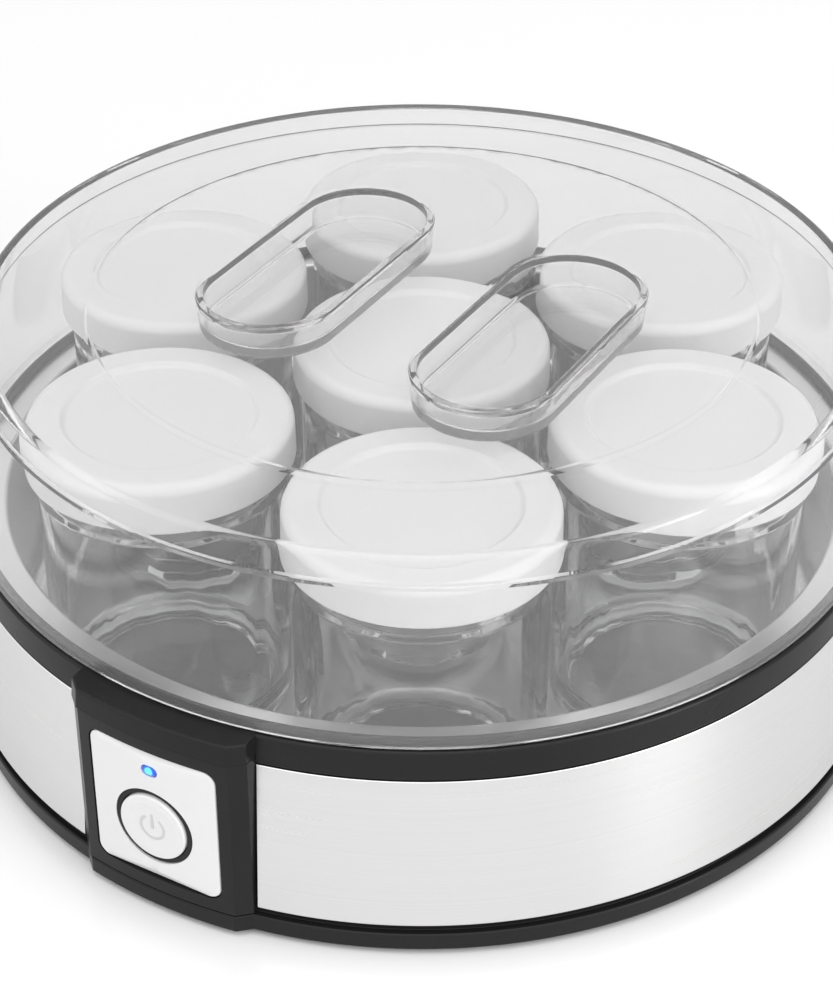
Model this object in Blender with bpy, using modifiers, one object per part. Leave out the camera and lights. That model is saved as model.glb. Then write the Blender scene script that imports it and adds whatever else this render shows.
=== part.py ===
"""Yogurt maker: a heated base with a steel band, a clear lid and seven capped glass jars.

A standalone Blender 4.5 script, in metres with +Z up. The origin is the centre of the body, on
the surface that it stands on. The control panel faces -Y and the cord inlet faces +Y.
"""

import math

import bmesh
import bpy
from mathutils import Matrix

MM = 0.001
GAP = 0.3 * MM  # left between pieces that touch

# Overall
BASE_RADIUS = 125.0 * MM
STAND_OFF = 1.5 * MM  # the underside of the base above the surface
BASE_RIM_TOP = 6.5 * MM
BASE_FLOOR = 2.0 * MM
BASE_LIP_TOP = 14.0 * MM
BASE_LIP_RADIUS = 123.1 * MM
BASE_LIP_WALL = 1.8 * MM

# Steel band, a slightly tapered sleeve
BAND_BOTTOM = 9.0 * MM
BAND_TOP = 51.4 * MM
BAND_BOTTOM_RADIUS = 124.6 * MM
BAND_TOP_RADIUS = 121.6 * MM
BAND_WALL = 0.8 * MM

# Upper ring
RING_TOP = 59.6 * MM
RING_TOP_RADIUS = 120.9 * MM
RING_LEDGE_TOP = 56.0 * MM
RING_LEDGE_RADIUS = 111.8 * MM
RING_UPSTAND_TOP = 61.4 * MM
RING_UPSTAND_RADIUS = 117.5 * MM

# Heating tub
TUB_RADIUS = 109.5 * MM  # inside
TUB_WALL = 1.0 * MM
TUB_FLOOR = 14.5 * MM  # the height of the floor's upper face
TUB_CORNER = 5.0 * MM
TUB_FLANGE_TOP = 59.0 * MM
TUB_FLANGE_RADIUS = 116.0 * MM

# Jars and caps
JAR_COUNT = 6  # round the middle one
JAR_PITCH = 74.5 * MM
JAR_RADIUS = 31.0 * MM
JAR_WALL = 2.6 * MM
JAR_NECK_RADIUS = 29.0 * MM
JAR_SHOULDER = 79.8 * MM
JAR_MOUTH = 93.4 * MM
JAR_BOTTOM = TUB_FLOOR + GAP
CAP_RADIUS = 33.4 * MM
CAP_TOP = 96.4 * MM
CAP_BOTTOM = CAP_TOP - 11.1 * MM
CAP_RECESS_TOP = CAP_TOP - 1.3 * MM
CAP_RECESS_RADIUS = 23.8 * MM
CAP_THICKNESS = 1.3 * MM
CAP_SKIRT_WALL = 2.8 * MM

# Lid
LID_WALL = 2.2 * MM
LID_FOOT_RADIUS = 120.4 * MM
LID_FOOT = RING_TOP + GAP
LID_SHOULDER_RADIUS = 113.9 * MM
LID_SHOULDER_TOP = 109.6 * MM
LID_SHOULDER_ROUND = 2.0 * MM
LID_INNER_ROUND = 3.2 * MM  # the fillet inside the shoulder
LID_CREASE_RADIUS = 85.0 * MM
LID_CREASE_TOP = 110.0 * MM
LID_CENTRE_TOP = 111.6 * MM
POCKET_LENGTH = 80.0 * MM
POCKET_WIDTH = 34.0 * MM
POCKET_OFFSET = 33.0 * MM
POCKET_STAGGER = 2.7 * MM  # the left pocket stands this far back, the right one forward
POCKET_FLOOR_TOP = 102.8 * MM
POCKET_WALL = 1.8 * MM

# Control panel
PANEL_RADIUS = 127.3 * MM  # its front follows the body's curve
PANEL_FRONT_HALF = 21.2 * MM
PANEL_SIDE_HALF = 24.6 * MM
PANEL_SIDE_FRONT = 122.4 * MM
PANEL_BACK = 113.5 * MM
PANEL_BOTTOM = BASE_RIM_TOP + GAP
PANEL_TOP = 54.1 * MM
PANEL_WEB = 1.5 * MM
FASCIA_WIDTH = 35.6 * MM
FASCIA_HEIGHT = 39.0 * MM
FASCIA_HEIGHT_MIDDLE = 30.5 * MM
FASCIA_CORNER = 3.2 * MM
FASCIA_THICKNESS = 1.5 * MM
STRIP_HALF_ANGLE = 12  # degrees of the body's curve that the fascia is cut from
STRIP_BOTTOM = 8.0 * MM
STRIP_TOP = 53.0 * MM
BUTTON_HEIGHT = 27.4 * MM
BUTTON_RADIUS = 9.6 * MM
BUTTON_FRONT = 127.8 * MM
BUTTON_HOLE = 11.0 * MM
BUTTON_COLLAR_RADIUS = 10.8 * MM
SURROUND_RADIUS = 10.7 * MM
INDICATOR_HEIGHT = 44.7 * MM
INDICATOR_WIDTH = 4.0 * MM
INDICATOR_TALL = 2.6 * MM
BOARD_FRONT = 114.6 * MM
BOARD_THICKNESS = 1.6 * MM
PLUNGER_RADIUS = 1.6 * MM
PLUNGER_FRONT = 119.3 * MM
PLUNGER_LENGTH = 2.2 * MM
SWITCH_HALF = 3.0 * MM
SWITCH_FRONT = 118.1 * MM

# Underside and inside
FOOT_SPREAD = 107.5 * MM
FOOT_RADIUS = 7.0 * MM
SCREW_SPREAD = 115.6 * MM
SCREW_ANGLES = (20, 160, 200, 340)
SCREW_HEAD_RADIUS = 2.9 * MM
SCREW_SHANK_RADIUS = 1.3 * MM
SCREW_SEAT = 3.8 * MM  # the underside of the head's flange, above the surface
SCREW_PAD_RADIUS = 4.8 * MM
COLUMN_RADIUS = 3.6 * MM
FOOT_STEM_RADIUS = 2.2 * MM
ELEMENT_RADIUS = 60.0 * MM
ELEMENT_TUBE = 2.2 * MM
SHIELD_RADIUS = 95.0 * MM
SHIELD_TOP = 7.6 * MM
INLET_HEIGHT = 22.0 * MM
INLET_BORE = 3.2 * MM
LEAD_RADIUS = 0.8 * MM
LEAD_SIDE = 12.0 * MM

ROUND_STEPS = 40  # sides of the body's large rings
JAR_STEPS = 16
SMALL_STEPS = 12
SMOOTH_ANGLE = math.radians(38)
WELD = 0.01 * MM  # points this close are one
OUTSIDE = 135.0 * MM  # a distance beyond the body, for cutters

# Finishes: colour, roughness, metallic
FINISHES = {
    "black_plastic": ((0.028, 0.028, 0.030), 0.42, 0.0),
    "white_plastic": ((0.86, 0.86, 0.86), 0.30, 0.0),
    "brushed_steel": ((0.72, 0.72, 0.71), 0.32, 1.0),
    "tub_metal": ((0.60, 0.60, 0.60), 0.35, 1.0),
    "clear_plastic": ((0.90, 0.91, 0.92), 0.06, 0.0),
    "glass": ((0.93, 0.95, 0.95), 0.03, 0.0),
    "rubber": ((0.05, 0.05, 0.05), 0.85, 0.0),
    "silicone": ((0.75, 0.75, 0.73), 0.60, 0.0),
    "board": ((0.05, 0.22, 0.10), 0.50, 0.0),
    "indicator": ((0.05, 0.25, 0.85), 0.20, 0.0),
    "zinc_screw": ((0.62, 0.62, 0.60), 0.30, 1.0),
    "heater": ((0.35, 0.35, 0.36), 0.45, 1.0),
}


def clear_scene():
    for obj in list(bpy.data.objects):
        bpy.data.objects.remove(obj, do_unlink=True)


def make_collection(name):
    collection = bpy.data.collections.new(name)
    bpy.context.scene.collection.children.link(collection)
    return collection


def make_material(name):
    colour, roughness, metallic = FINISHES[name]
    material = bpy.data.materials.new(name)
    material.use_nodes = True
    shader = material.node_tree.nodes["Principled BSDF"]
    shader.inputs["Base Color"].default_value = (*colour, 1.0)
    shader.inputs["Roughness"].default_value = roughness
    shader.inputs["Metallic"].default_value = metallic
    material.diffuse_color = (*colour, 1.0)
    return material


clear_scene()
PARTS = make_collection("yogurt_maker")
CUTTERS = make_collection("cutters")
CUTTERS.hide_render = True
MATERIALS = {name: make_material(name) for name in FINISHES}


# ------------------------------------------------------------------------------- modelling tools


def place(obj, finish=None):
    """Puts a part in the object's collection, or a cutter, which has no finish, in the other."""
    if finish is None:
        CUTTERS.objects.link(obj)
        obj.hide_render = True
        obj.display_type = "WIRE"
        return obj
    PARTS.objects.link(obj)
    obj.data.materials.clear()
    obj.data.materials.append(MATERIALS[finish])
    return obj


def apply_modifiers(obj):
    """Turns the modifiers' result into the object's mesh and shades its round faces smooth."""
    graph = bpy.context.evaluated_depsgraph_get()
    mesh = bpy.data.meshes.new_from_object(obj.evaluated_get(graph))
    mesh.name = obj.name
    finishes = list(obj.data.materials)
    mesh.materials.clear()
    for material in finishes:
        mesh.materials.append(material)
    obj.modifiers.clear()
    obj.data = mesh
    mesh.shade_smooth()
    mesh.set_sharp_from_angle(angle=SMOOTH_ANGLE)
    return obj


def turned(name, profile, finish=None, steps=ROUND_STEPS, at=(0, 0, 0), turn=None):
    """A profile of (radius, height) points turned about Z. One that starts and ends on the axis
    stays open, and any other is closed, which makes a ring."""
    solid = profile[0][0] == 0 and profile[-1][0] == 0
    count = len(profile)
    edges = [(i, (i + 1) % count) for i in range(count - 1 if solid else count)]
    mesh = bpy.data.meshes.new(name)
    mesh.from_pydata([(radius, 0, height) for radius, height in profile], edges, [])
    obj = place(bpy.data.objects.new(name, mesh), finish)
    screw = obj.modifiers.new("Turn", "SCREW")
    screw.steps = screw.render_steps = steps
    screw.use_merge_vertices = True
    screw.merge_threshold = WELD
    apply_modifiers(obj)
    obj.location = at
    if turn is not None:
        obj.rotation_euler = turn
    return obj


def mesh_from_curve(curve_object):
    """Makes a closed mesh of a curve, welds its caps and removes the curve."""
    bpy.context.view_layer.update()
    graph = bpy.context.evaluated_depsgraph_get()
    mesh = bpy.data.meshes.new_from_object(curve_object.evaluated_get(graph))
    edit = bmesh.new()
    edit.from_mesh(mesh)
    bmesh.ops.remove_doubles(edit, verts=edit.verts, dist=WELD / 10)
    bmesh.ops.recalc_face_normals(edit, faces=edit.faces)
    edit.to_mesh(mesh)
    edit.free()
    curve = curve_object.data
    bpy.data.objects.remove(curve_object)
    bpy.data.curves.remove(curve)
    return mesh


def extruded(name, outline, low, high, finish=None, upright=False):
    """A flat outline made solid between two heights. Upright, the outline is seen from the front,
    as X and Z, and low and high are distances in front of the body's middle."""
    curve = bpy.data.curves.new(name, "CURVE")
    curve.dimensions = "2D"
    curve.fill_mode = "BOTH"
    curve.extrude = (high - low) / 2
    spline = curve.splines.new("POLY")
    spline.points.add(len(outline) - 1)
    for point, (across, along) in zip(spline.points, outline):
        point.co = (across, along, 0, 1)
    spline.use_cyclic_u = True
    holder = bpy.data.objects.new(name, curve)
    bpy.context.scene.collection.objects.link(holder)
    mesh = mesh_from_curve(holder)
    mesh.transform(Matrix.Translation((0, 0, (low + high) / 2)))
    if upright:
        mesh.transform(Matrix.Rotation(math.pi / 2, 4, "X"))
    mesh.name = name
    mesh.shade_smooth()
    mesh.set_sharp_from_angle(angle=SMOOTH_ANGLE)
    return place(bpy.data.objects.new(name, mesh), finish)


def tube(name, points, radius, finish, sides=2):
    """A round tube along a list of points, with closed ends."""
    curve = bpy.data.curves.new(name, "CURVE")
    curve.dimensions = "3D"
    curve.bevel_depth = radius
    curve.bevel_resolution = sides
    curve.use_fill_caps = True
    spline = curve.splines.new("POLY")
    spline.points.add(len(points) - 1)
    for point, place_at in zip(spline.points, points):
        point.co = (*place_at, 1)
    holder = bpy.data.objects.new(name, curve)
    bpy.context.scene.collection.objects.link(holder)
    mesh = mesh_from_curve(holder)
    mesh.name = name
    mesh.shade_smooth()
    return place(bpy.data.objects.new(name, mesh), finish)


def block(name, low, high, finish=None, edge=0.0):
    """A box between two corners, with an optional rounded edge."""
    edit = bmesh.new()
    bmesh.ops.create_cube(edit, size=1)
    size = [b - a for a, b in zip(low, high)]
    middle = [(a + b) / 2 for a, b in zip(low, high)]
    bmesh.ops.scale(edit, vec=size, verts=edit.verts)
    bmesh.ops.translate(edit, vec=middle, verts=edit.verts)
    mesh = bpy.data.meshes.new(name)
    edit.to_mesh(mesh)
    edit.free()
    obj = place(bpy.data.objects.new(name, mesh), finish)
    if edge:
        bevel = obj.modifiers.new("Edges", "BEVEL")
        bevel.width = edge
        bevel.segments = 2
        apply_modifiers(obj)
    return obj


def combine(obj, others, operation):
    """Cuts, joins or intersects an object with others, one after another."""
    for other in others:
        boolean = obj.modifiers.new(operation.title(), "BOOLEAN")
        boolean.object = other
        boolean.operation = operation
        boolean.solver = "EXACT"
    apply_modifiers(obj)
    return obj


def cylinder(name, radius, low, high, at=(0, 0), steps=SMALL_STEPS):
    """An upright cylinder used as a cutter or joined to another part."""
    profile = [(0, high), (radius, high), (radius, low), (0, low)]
    return turned(name, profile, steps=steps, at=(at[0], at[1], 0))


def rod_forward(name, radius, near, far, height, steps=SMALL_STEPS):
    """A cylinder along -Y between two distances in front of the body's middle."""
    profile = [(0, far), (radius, far), (radius, near), (0, near)]
    return turned(name, profile, steps=steps, at=(0, 0, height), turn=(math.pi / 2, 0, 0))


# --------------------------------------------------------------------------------------- outlines


def arc(centre, radius, start, end, segments):
    """Points of an arc between two angles in degrees, both ends included."""
    angles = [math.radians(start + (end - start) * i / segments) for i in range(segments + 1)]
    return [(centre[0] + radius * math.cos(a), centre[1] + radius * math.sin(a)) for a in angles]


def rounded_rectangle(width, height, corner, middle, segments=4):
    across, up = width / 2 - corner, height / 2 - corner
    outline = []
    for sign_x, sign_y, start in ((1, 1, 0), (-1, 1, 90), (-1, -1, 180), (1, -1, 270)):
        centre = (middle[0] + sign_x * across, middle[1] + sign_y * up)
        outline += arc(centre, corner, start, start + 90, segments)
    return outline


def stadium(length, width, middle, segments=8):
    """A slot outline along Y with round ends."""
    reach = (length - width) / 2
    top = arc((middle[0], middle[1] + reach), width / 2, 0, 180, segments)
    bottom = arc((middle[0], middle[1] - reach), width / 2, 180, 360, segments)
    return top + bottom


def panel_plan(front, inset, back):
    """The panel's outline from above: a front that follows the body, chamfers and straight sides."""
    front_half = PANEL_FRONT_HALF - inset
    side_half = PANEL_SIDE_HALF - inset
    swing = math.degrees(math.asin(front_half / front))
    outline = arc((0, 0), front, 270 - swing, 270 + swing, 8)
    shoulder = -(PANEL_SIDE_FRONT - inset)
    outline += [(side_half, shoulder), (side_half, -back), (-side_half, -back)]
    outline.append((-side_half, shoulder))
    return outline


def curved_strip(name, inner, outer, finish=None):
    """A strip of a cylinder's wall at the front, wider and taller than the fascia."""
    outline = arc((0, 0), outer, 270 - STRIP_HALF_ANGLE, 270 + STRIP_HALF_ANGLE, 8)
    outline += arc((0, 0), inner, 270 + STRIP_HALF_ANGLE, 270 - STRIP_HALF_ANGLE, 8)
    return extruded(name, outline, STRIP_BOTTOM, STRIP_TOP, finish)


def polar(radius, degrees):
    angle = math.radians(degrees)
    return (radius * math.cos(angle), radius * math.sin(angle))


# ------------------------------------------------------------------------------- base and housing


def make_lower_base():
    """The base pan: floor, outer rim, the lip that locates the band, and the panel's foot."""
    lip_inside = BASE_LIP_RADIUS - BASE_LIP_WALL
    edge = 0.6 * MM
    floor_top = STAND_OFF + BASE_FLOOR
    profile = [
        (0, floor_top),
        (lip_inside, floor_top),
        (lip_inside, BASE_LIP_TOP),
        (BASE_LIP_RADIUS, BASE_LIP_TOP),
        (BASE_LIP_RADIUS, BASE_RIM_TOP),
        (BASE_RADIUS - edge, BASE_RIM_TOP),
        (BASE_RADIUS, BASE_RIM_TOP - edge),
        (BASE_RADIUS, STAND_OFF + edge),
        (BASE_RADIUS - edge, STAND_OFF),
        (0, STAND_OFF),
    ]
    base = turned("lower_base", profile, "black_plastic")
    foot_plan = panel_plan(PANEL_RADIUS, 0, BASE_RADIUS - 6 * MM)
    panel_foot = extruded("panel_foot", foot_plan, STAND_OFF, BASE_RIM_TOP)
    pads = []
    holes = []
    for i, degrees in enumerate(SCREW_ANGLES):
        at = polar(SCREW_SPREAD, degrees)
        head_room = SCREW_HEAD_RADIUS + 0.4 * MM
        shank_room = SCREW_SHANK_RADIUS + 0.6 * MM
        pads.append(cylinder(f"screw_pad_{i}", SCREW_PAD_RADIUS, STAND_OFF + 0.5 * MM, BASE_RIM_TOP, at))
        holes.append(cylinder(f"screw_counterbore_{i}", head_room, 0, SCREW_SEAT + GAP, at))
        holes.append(cylinder(f"screw_clearance_{i}", shank_room, SCREW_SEAT, 8 * MM, at))
    for i in range(4):
        at = polar(FOOT_SPREAD, 45 + 90 * i)
        holes.append(cylinder(f"foot_hole_{i}", FOOT_STEM_RADIUS + 0.4 * MM, 0, 5 * MM, at))
    panel_room = block(
        "base_panel_room",
        (-PANEL_SIDE_HALF - GAP, -OUTSIDE, BASE_RIM_TOP),
        (PANEL_SIDE_HALF + GAP, -PANEL_BACK, 20 * MM),
    )
    combine(base, [panel_foot, *pads], "UNION")
    combine(base, [*holes, panel_room], "DIFFERENCE")


def make_feet():
    """Rubber feet, each with a stem that snaps into the base's floor."""
    profile = [
        (0, 5.4 * MM),
        (FOOT_STEM_RADIUS - 0.4 * MM, 5.4 * MM),
        (FOOT_STEM_RADIUS, 4.6 * MM),
        (FOOT_STEM_RADIUS, STAND_OFF - GAP),
        (FOOT_RADIUS - 0.4 * MM, STAND_OFF - GAP),
        (FOOT_RADIUS, 0.8 * MM),
        (FOOT_RADIUS - 0.5 * MM, 0),
        (0, 0),
    ]
    for i in range(4):
        x, y = polar(FOOT_SPREAD, 45 + 90 * i)
        turned(f"foot_{i + 1}", profile, "rubber", SMALL_STEPS, (x, y, 0))


def make_screws():
    """The screws that pull the upper ring down on the base, with the steel band between them."""
    profile = [
        (0, 17 * MM),
        (SCREW_SHANK_RADIUS, 16 * MM),
        (SCREW_SHANK_RADIUS, SCREW_SEAT),
        (SCREW_HEAD_RADIUS, SCREW_SEAT),
        (SCREW_HEAD_RADIUS, 2.4 * MM),
        (0, 2.1 * MM),
    ]
    for i, degrees in enumerate(SCREW_ANGLES):
        x, y = polar(SCREW_SPREAD, degrees)
        turned(f"base_screw_{i + 1}", profile, "zinc_screw", 10, (x, y, 0))


def make_steel_band():
    """The band is a sleeve that stops at each side of the panel and has a hole for the inlet."""
    profile = [
        (BAND_TOP_RADIUS, BAND_TOP),
        (BAND_BOTTOM_RADIUS, BAND_BOTTOM),
        (BAND_BOTTOM_RADIUS - BAND_WALL, BAND_BOTTOM),
        (BAND_TOP_RADIUS - BAND_WALL, BAND_TOP),
    ]
    band = turned("steel_band", profile, "brushed_steel")
    gap = block(
        "band_panel_gap",
        (-PANEL_SIDE_HALF - GAP, -OUTSIDE, 0),
        (PANEL_SIDE_HALF + GAP, -100 * MM, RING_TOP),
    )
    hole = rod_forward("inlet_hole", 5.0 * MM, -OUTSIDE, -115 * MM, INLET_HEIGHT)
    combine(band, [gap, hole], "DIFFERENCE")


def make_upper_ring():
    """The ring holds the tub's flange and the lid, and its columns take the base's screws."""
    lip_outside = BAND_TOP_RADIUS - BAND_WALL - 3 * GAP
    lip_inside = lip_outside - 1.8 * MM
    ring_bottom = BAND_TOP + GAP
    upstand_inside = TUB_FLANGE_RADIUS + GAP
    profile = [
        (RING_TOP_RADIUS - 0.8 * MM, RING_TOP),
        (RING_TOP_RADIUS, RING_TOP - 0.7 * MM),
        (BAND_TOP_RADIUS - 0.1 * MM, ring_bottom),
        (lip_outside, ring_bottom),
        (lip_outside, 44.5 * MM),
        (lip_inside, 44.5 * MM),
        (lip_inside, 53.5 * MM),
        (RING_LEDGE_RADIUS, 53.5 * MM),
        (RING_LEDGE_RADIUS, RING_LEDGE_TOP),
        (upstand_inside, RING_LEDGE_TOP),
        (upstand_inside, RING_UPSTAND_TOP),
        (RING_UPSTAND_RADIUS, RING_UPSTAND_TOP),
        (RING_UPSTAND_RADIUS, RING_TOP),
    ]
    ring = turned("upper_ring", profile, "black_plastic")
    brow_bottom = PANEL_TOP + GAP
    brow = extruded("panel_brow", panel_plan(PANEL_RADIUS, 0, 117 * MM), brow_bottom, RING_TOP)
    columns = []
    bores = []
    for i, degrees in enumerate(SCREW_ANGLES):
        at = polar(SCREW_SPREAD, degrees)
        bore_radius = SCREW_SHANK_RADIUS + 0.4 * MM
        columns.append(cylinder(f"column_{i}", COLUMN_RADIUS, BASE_RIM_TOP + GAP, 54.5 * MM, at))
        bores.append(cylinder(f"column_bore_{i}", bore_radius, 5 * MM, 20 * MM, at))
    panel_room = block(
        "ring_panel_room",
        (-PANEL_SIDE_HALF - GAP, -OUTSIDE, 30 * MM),
        (PANEL_SIDE_HALF + GAP, -PANEL_BACK + GAP, brow_bottom),
    )
    combine(ring, [brow, *columns], "UNION")
    combine(ring, [*bores, panel_room], "DIFFERENCE")


def make_tub():
    """The metal tub that the jars stand in, with its flange and the seal under it."""
    outside = TUB_RADIUS + TUB_WALL
    flange_bottom = TUB_FLANGE_TOP - TUB_WALL
    inner_corner = arc((TUB_RADIUS - TUB_CORNER, TUB_FLOOR + TUB_CORNER), TUB_CORNER, -90, 0, 2)
    outer_corner = arc(
        (TUB_RADIUS - TUB_CORNER, TUB_FLOOR + TUB_CORNER), TUB_CORNER + TUB_WALL, 0, -90, 2
    )
    profile = [(0, TUB_FLOOR), *inner_corner]
    profile += [(TUB_RADIUS, TUB_FLANGE_TOP - 0.8 * MM), (TUB_RADIUS + 0.8 * MM, TUB_FLANGE_TOP)]
    profile += [(TUB_FLANGE_RADIUS, TUB_FLANGE_TOP), (TUB_FLANGE_RADIUS, flange_bottom)]
    profile += [(outside, flange_bottom), *outer_corner, (0, TUB_FLOOR - TUB_WALL)]
    turned("heating_tub", profile, "tub_metal")

    seal_top = flange_bottom - GAP
    seal_bottom = RING_LEDGE_TOP + GAP
    seal_outside = TUB_FLANGE_RADIUS - 0.4 * MM
    seal_inside = RING_LEDGE_RADIUS + 0.6 * MM
    seal = [
        (seal_outside, seal_top),
        (seal_outside, seal_bottom),
        (seal_inside, seal_bottom),
        (seal_inside, seal_top),
    ]
    turned("tub_seal", seal, "silicone")


def make_heater():
    """The element, its shield, the thermostat, the thermal fuse and the two leads."""
    height = TUB_FLOOR - TUB_WALL - GAP - ELEMENT_TUBE
    loop = arc((0, 0), ELEMENT_RADIUS, -78, 258, 28)
    first, last = loop[0], loop[-1]
    end = -84 * MM
    path = [(first[0], end), *loop, (last[0], end)]
    tube("heating_element", [(x, y, height) for x, y in path], ELEMENT_TUBE, "heater", 1)

    shield = [
        (0, SHIELD_TOP),
        (SHIELD_RADIUS - 1 * MM, SHIELD_TOP),
        (SHIELD_RADIUS - 1 * MM, SHIELD_TOP + 1.6 * MM),
        (SHIELD_RADIUS, SHIELD_TOP + 1.6 * MM),
        (SHIELD_RADIUS, SHIELD_TOP - 0.8 * MM),
        (0, SHIELD_TOP - 0.8 * MM),
    ]
    turned("heat_shield", shield, "tub_metal", 24)

    under_tub = TUB_FLOOR - TUB_WALL - GAP
    thermostat = [
        (0, under_tub),
        (8 * MM, under_tub),
        (8 * MM, 11 * MM),
        (6 * MM, 11 * MM),
        (6 * MM, SHIELD_TOP + GAP),
        (0, SHIELD_TOP + GAP),
    ]
    turned("thermostat", thermostat, "heater", SMALL_STEPS)
    fuse_height = under_tub - 1.8 * MM
    fuse = [(-6 * MM, -30 * MM, fuse_height), (6 * MM, -30 * MM, fuse_height)]
    tube("thermal_fuse", fuse, 1.8 * MM, "zinc_screw", 1)

    for side, sign in (("left", -1), ("right", 1)):
        x = sign * LEAD_SIDE
        route = [
            (x, end - GAP - 1 * MM, height),
            (x, -96 * MM, 9.9 * MM),
            (x, -105 * MM, 8.6 * MM),
            (x, -109.6 * MM, 9.4 * MM),
            (x, -111.7 * MM, 12.5 * MM),
            (x, -111.8 * MM, 20 * MM),
        ]
        tube(f"element_lead_{side}", route, LEAD_RADIUS, "silicone", 1)


def make_cord_inlet():
    """The grommet in the band's hole, where the mains cord goes in."""
    band_outside = 124.3 * MM
    band_inside = 122.0 * MM
    profile = [
        (4.6 * MM, BUTTON_FRONT),
        (6.6 * MM, BUTTON_FRONT - 1.4 * MM),
        (6.6 * MM, band_outside),
        (4.7 * MM, band_outside),
        (4.7 * MM, band_inside),
        (6.2 * MM, band_inside),
        (4.9 * MM, 119.4 * MM),
        (INLET_BORE, 119.4 * MM),
        (INLET_BORE, BUTTON_FRONT),
    ]
    at = (0, 0, INLET_HEIGHT)
    turned("cord_inlet", profile, "rubber", 16, at, (-math.pi / 2, 0, 0))


# ----------------------------------------------------------------------------------- control panel


def make_panel():
    """The panel's housing and the white fascia let into its front."""
    recess_floor = PANEL_RADIUS - FASCIA_THICKNESS - GAP
    cavity_front = recess_floor - PANEL_WEB
    housing = extruded(
        "panel_housing",
        panel_plan(PANEL_RADIUS, 0, PANEL_BACK),
        PANEL_BOTTOM,
        PANEL_TOP,
        "black_plastic",
    )
    middle = (0, FASCIA_HEIGHT_MIDDLE)
    recess = curved_strip("fascia_recess", recess_floor, OUTSIDE)
    window = rounded_rectangle(
        FASCIA_WIDTH + 2 * GAP, FASCIA_HEIGHT + 2 * GAP, FASCIA_CORNER + GAP, middle
    )
    window_prism = extruded("fascia_window", window, PANEL_BACK, OUTSIDE + GAP, upright=True)
    combine(recess, [window_prism], "INTERSECT")
    cavity_outline = panel_plan(cavity_front, 2.4 * MM, 100 * MM)
    cavity = extruded("panel_cavity", cavity_outline, PANEL_BOTTOM + 2 * MM, PANEL_TOP - 2 * MM)
    button_hole = rod_forward("button_hole", BUTTON_HOLE, 118 * MM, OUTSIDE, BUTTON_HEIGHT, 24)
    slot = indicator_prism("housing_slot", 0.4 * MM)
    combine(housing, [recess, cavity, button_hole, slot], "DIFFERENCE")

    fascia_back = recess_floor + GAP
    fascia = curved_strip("fascia_plate", fascia_back, PANEL_RADIUS, "white_plastic")
    outline = rounded_rectangle(FASCIA_WIDTH, FASCIA_HEIGHT, FASCIA_CORNER, middle)
    edge = extruded("fascia_edge", outline, PANEL_BACK, OUTSIDE, upright=True)
    combine(fascia, [edge], "INTERSECT")
    combine(fascia, [button_hole, indicator_prism("fascia_slot", 0.3 * MM)], "DIFFERENCE")


def indicator_outline(margin):
    width = INDICATOR_WIDTH + 2 * margin
    height = INDICATOR_TALL + 2 * margin
    return rounded_rectangle(width, height, height / 2 - 0.01 * MM, (0, INDICATOR_HEIGHT))


def indicator_prism(name, margin):
    return extruded(name, indicator_outline(margin), 118 * MM, 130 * MM, upright=True)


def make_controls():
    """The button, its dark surround, the indicator, the board, its lamp and its switch."""
    forward = (math.pi / 2, 0, 0)
    at = (0, 0, BUTTON_HEIGHT)
    surround = [
        (SURROUND_RADIUS, 126.3 * MM),
        (SURROUND_RADIUS, 123.0 * MM),
        (12.2 * MM, 123.0 * MM),
        (12.2 * MM, 122.0 * MM),
        (BUTTON_RADIUS + GAP, 122.0 * MM),
        (BUTTON_RADIUS + GAP, 126.3 * MM),
    ]
    turned("button_surround", surround, "black_plastic", 24, at, forward)
    button = [
        (0, BUTTON_FRONT),
        (BUTTON_RADIUS - 1.2 * MM, BUTTON_FRONT - 0.1 * MM),
        (BUTTON_RADIUS - 0.3 * MM, BUTTON_FRONT - 0.5 * MM),
        (BUTTON_RADIUS, BUTTON_FRONT - 1.2 * MM),
        (BUTTON_RADIUS, 121.7 * MM),
        (BUTTON_COLLAR_RADIUS, 121.7 * MM),
        (BUTTON_COLLAR_RADIUS, 120.9 * MM),
        (PLUNGER_RADIUS, 120.9 * MM),
        (PLUNGER_RADIUS, PLUNGER_FRONT + GAP),
        (0, PLUNGER_FRONT + GAP),
    ]
    turned("power_button", button, "white_plastic", 24, at, forward)

    extruded("indicator_lens", indicator_outline(0), 122.4 * MM, 127.5 * MM, "indicator", True)
    lamp = [
        (0, 122.0 * MM),
        (1.1 * MM, 121.6 * MM),
        (1.5 * MM, 120.6 * MM),
        (1.5 * MM, BOARD_FRONT + GAP),
        (0, BOARD_FRONT + GAP),
    ]
    turned("indicator_lamp", lamp, "indicator", 10, (0, 0, INDICATOR_HEIGHT), forward)

    block(
        "control_board",
        (-18 * MM, -BOARD_FRONT, 14 * MM),
        (18 * MM, BOARD_THICKNESS - BOARD_FRONT, 50 * MM),
        "board",
    )
    switch = block(
        "switch_body",
        (-SWITCH_HALF, -SWITCH_FRONT, BUTTON_HEIGHT - SWITCH_HALF),
        (SWITCH_HALF, -BOARD_FRONT - GAP, BUTTON_HEIGHT + SWITCH_HALF),
        "black_plastic",
    )
    bore = rod_forward("switch_bore", 2.0 * MM, 115.6 * MM, 120 * MM, BUTTON_HEIGHT)
    combine(switch, [bore], "DIFFERENCE")
    plunger = [
        (0, PLUNGER_FRONT),
        (PLUNGER_RADIUS, PLUNGER_FRONT),
        (PLUNGER_RADIUS, PLUNGER_FRONT - PLUNGER_LENGTH),
        (0, PLUNGER_FRONT - PLUNGER_LENGTH),
    ]
    turned("switch_plunger", plunger, "white_plastic", SMALL_STEPS, at, forward)


# ---------------------------------------------------------------------------------- jars and lid


def jar_places():
    """The middle of each jar: one in the centre and the others round it, the first towards +X."""
    return [(0.0, 0.0)] + [polar(JAR_PITCH, 60 * i) for i in range(JAR_COUNT)]


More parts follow.
